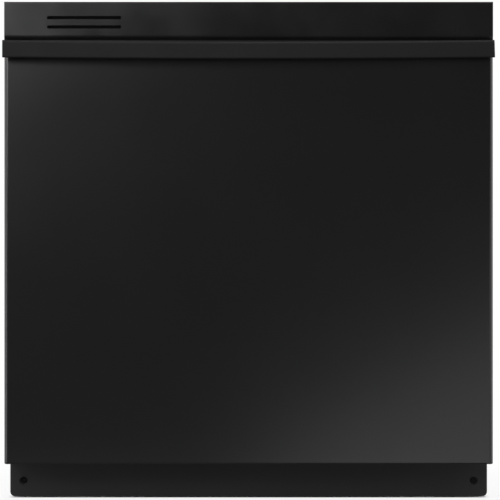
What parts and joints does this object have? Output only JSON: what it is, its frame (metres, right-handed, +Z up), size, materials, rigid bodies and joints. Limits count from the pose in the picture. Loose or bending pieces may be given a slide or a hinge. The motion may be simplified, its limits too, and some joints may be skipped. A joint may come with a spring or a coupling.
{
  "type": "built-in dishwasher",
  "caption": "Compact built-in dishwasher with a drop-down black door, full-width bar handle, top-edge buttons, vented console, sliding racks, spray arms and a recessed toe kick.",
  "frame": {"origin": "centre of the footprint, at the floor", "axes": "+X to the right seen from the front, +Y into the machine, +Z up; the door faces -Y"},
  "size_m": [0.598, 0.568, 0.6105],
  "materials": {
    "steel_panel": "satin black painted steel",
    "black_moulding": "satin black moulded plastic",
    "dark_trim": "fine grained black plastic",
    "kick_black": "matt black painted steel",
    "stainless": "brushed stainless steel",
    "zinc_steel": "zinc coated steel",
    "screw_black": "black oxide steel",
    "screw_steel": "bright steel",
    "grey_plastic": "grey moulded polypropylene",
    "filter_steel": "perforated stainless steel",
    "rack_vinyl": "grey vinyl coated wire",
    "base_plastic": "black moulded polypropylene",
    "bitumen": "matt bitumen pad",
    "seal_rubber": "matt grey rubber",
    "pump_body": "glass filled plastic",
    "board_green": "solder mask",
    "lens": "smoked lens"
  },
  "bodies": {
    "cabinet": {"air_break": "grey_plastic", "base_pan": "base_plastic", "circulation_pump": "pump_body", "counter_springs": "zinc_steel", "countertop_brackets": "zinc_steel", "damping_pads": "bitumen", "door_seal": "seal_rubber", "drain_pump": "pump_body", "filter_plate": "filter_steel", "heater_element": "stainless", "hinge_pins": "zinc_steel", "inlet_valve": "pump_body", "junction_box": "dark_trim", "kick_screws": "screw_black", "rack_rails": "zinc_steel", "side_frame_left": "zinc_steel", "side_frame_right": "zinc_steel", "strike_plate": "zinc_steel", "sump": "grey_plastic", "supply_tube": "grey_plastic", "toe_kick": "kick_black", "tub_back": "stainless", "tub_floor": "grey_plastic", "tub_front_frame": "stainless", "tub_wrapper": "stainless"},
    "door": {"outer_door_panel": "steel_panel", "console_strip": "black_moulding", "vent_grille": "dark_trim", "handle_bar": "black_moulding", "handle_brackets": "black_moulding", "inner_door_liner": "stainless", "door_screws": "screw_steel", "hinge_arms": "zinc_steel", "latch_housing": "dark_trim", "dispenser_housing": "grey_plastic", "control_board": "board_green", "status_window": "lens"},
    "rack": {"main_rack": "rack_vinyl", "rack_runners": "zinc_steel", "plate_tines": "rack_vinyl", "cutlery_basket": "grey_plastic"},
    "tray": {"cutlery_tray": "rack_vinyl", "tray_runners": "zinc_steel"},
    "filter_cup": {"filter_cup": "grey_plastic"},
    "overfill_float": {"overfill_float": "grey_plastic"},
    "lower_spray_arm": {"lower_spray_arm": "grey_plastic"},
    "upper_spray_arm": {"upper_spray_arm": "grey_plastic"},
    "latch_plunger": {"latch_plunger": "dark_trim"},
    "dispenser_lid": {"dispenser_lid": "grey_plastic"},
    "rinse_aid_cap": {"rinse_aid_cap": "grey_plastic"},
    "folding_tines": {"folding_tines": "rack_vinyl"},
    "cup_shelf": {"cup_shelf": "rack_vinyl"},
    "button_dry": {"button_dry": "dark_trim"},
    "button_power": {"button_power": "dark_trim"},
    "button_start": {"button_start": "dark_trim"},
    "button_wash": {"button_wash": "dark_trim"},
    "foot_front_left": {"foot_front_left": "base_plastic"},
    "foot_front_right": {"foot_front_right": "base_plastic"},
    "foot_rear_left": {"foot_rear_left": "base_plastic"},
    "foot_rear_right": {"foot_rear_right": "base_plastic"}
  },
  "joints": [
    {"name": "door_hinge", "type": "hinge", "parent": "cabinet", "child": "door", "pos_m": [0, -0.222, 0.1], "axis": [1, 0, 0], "range_deg": [0, 90], "stiffness_Nm_per_rad": 13, "deforming": ["counter_springs"]},
    {"name": "rack_slide", "type": "slide", "parent": "cabinet", "child": "rack", "axis": [0, -1, 0], "range_m": [0, 0.241]},
    {"name": "tray_slide", "type": "slide", "parent": "cabinet", "child": "tray", "axis": [0, -1, 0], "range_m": [0, 0.301]},
    {"name": "lower_arm_spin", "type": "hinge", "parent": "cabinet", "child": "lower_spray_arm", "pos_m": [0, 0.035, 0.18], "axis": [0, 0, 1], "continuous": true},
    {"name": "upper_arm_spin", "type": "hinge", "parent": "cabinet", "child": "upper_spray_arm", "pos_m": [0, 0.035, 0.564], "axis": [0, 0, 1], "continuous": true},
    {"name": "filter_twist", "type": "hinge", "parent": "cabinet", "child": "filter_cup", "pos_m": [0, -0.065, 0.12], "axis": [0, 0, 1], "range_deg": [0, 90]},
    {"name": "float_lift", "type": "slide", "parent": "cabinet", "child": "overfill_float", "axis": [0, 0, 1], "range_m": [0, 0.008]},
    {"name": "latch_press", "type": "slide", "parent": "door", "child": "latch_plunger", "axis": [0, 0, 1], "range_m": [0, 0.003], "stiffness_N_per_m": 400},
    {"name": "lid_slide", "type": "slide", "parent": "door", "child": "dispenser_lid", "axis": [1, 0, 0], "range_m": [0, 0.056]},
    {"name": "cap_turn", "type": "hinge", "parent": "door", "child": "rinse_aid_cap", "pos_m": [0.064, -0.199, 0.335], "axis": [0, 1, 0], "range_deg": [0, 90]},
    {"name": "tines_fold", "type": "hinge", "parent": "rack", "child": "folding_tines", "pos_m": [0, 0.15, 0.224], "axis": [1, 0, 0], "range_deg": [0, 80]},
    {"name": "shelf_fold", "type": "hinge", "parent": "rack", "child": "cup_shelf", "pos_m": [-0.23, 0, 0.376], "axis": [0, 1, 0], "range_deg": [0, 85]},
    {"name": "button_dry_press", "type": "slide", "parent": "door", "child": "button_dry", "axis": [0, 0, -1], "range_m": [0, 0.0012], "stiffness_N_per_m": 800},
    {"name": "button_power_press", "type": "slide", "parent": "door", "child": "button_power", "axis": [0, 0, -1], "range_m": [0, 0.0012], "stiffness_N_per_m": 800},
    {"name": "button_start_press", "type": "slide", "parent": "door", "child": "button_start", "axis": [0, 0, -1], "range_m": [0, 0.0012], "stiffness_N_per_m": 800},
    {"name": "button_wash_press", "type": "slide", "parent": "door", "child": "button_wash", "axis": [0, 0, -1], "range_m": [0, 0.0012], "stiffness_N_per_m": 800},
    {"name": "foot_front_left_level", "type": "slide", "parent": "cabinet", "child": "foot_front_left", "axis": [0, 0, -1], "range_m": [0, 0.02]},
    {"name": "foot_front_right_level", "type": "slide", "parent": "cabinet", "child": "foot_front_right", "axis": [0, 0, -1], "range_m": [0, 0.02]},
    {"name": "foot_rear_left_level", "type": "slide", "parent": "cabinet", "child": "foot_rear_left", "axis": [0, 0, -1], "range_m": [0, 0.02]},
    {"name": "foot_rear_right_level", "type": "slide", "parent": "cabinet", "child": "foot_rear_right", "axis": [0, 0, -1], "range_m": [0, 0.02]}
  ],
  "couplings": [
    {"joint": "rack_slide", "follows": "door_hinge", "m_per_rad": 0.15279},
    {"joint": "tray_slide", "follows": "door_hinge", "m_per_rad": 0.19099}
  ]
}
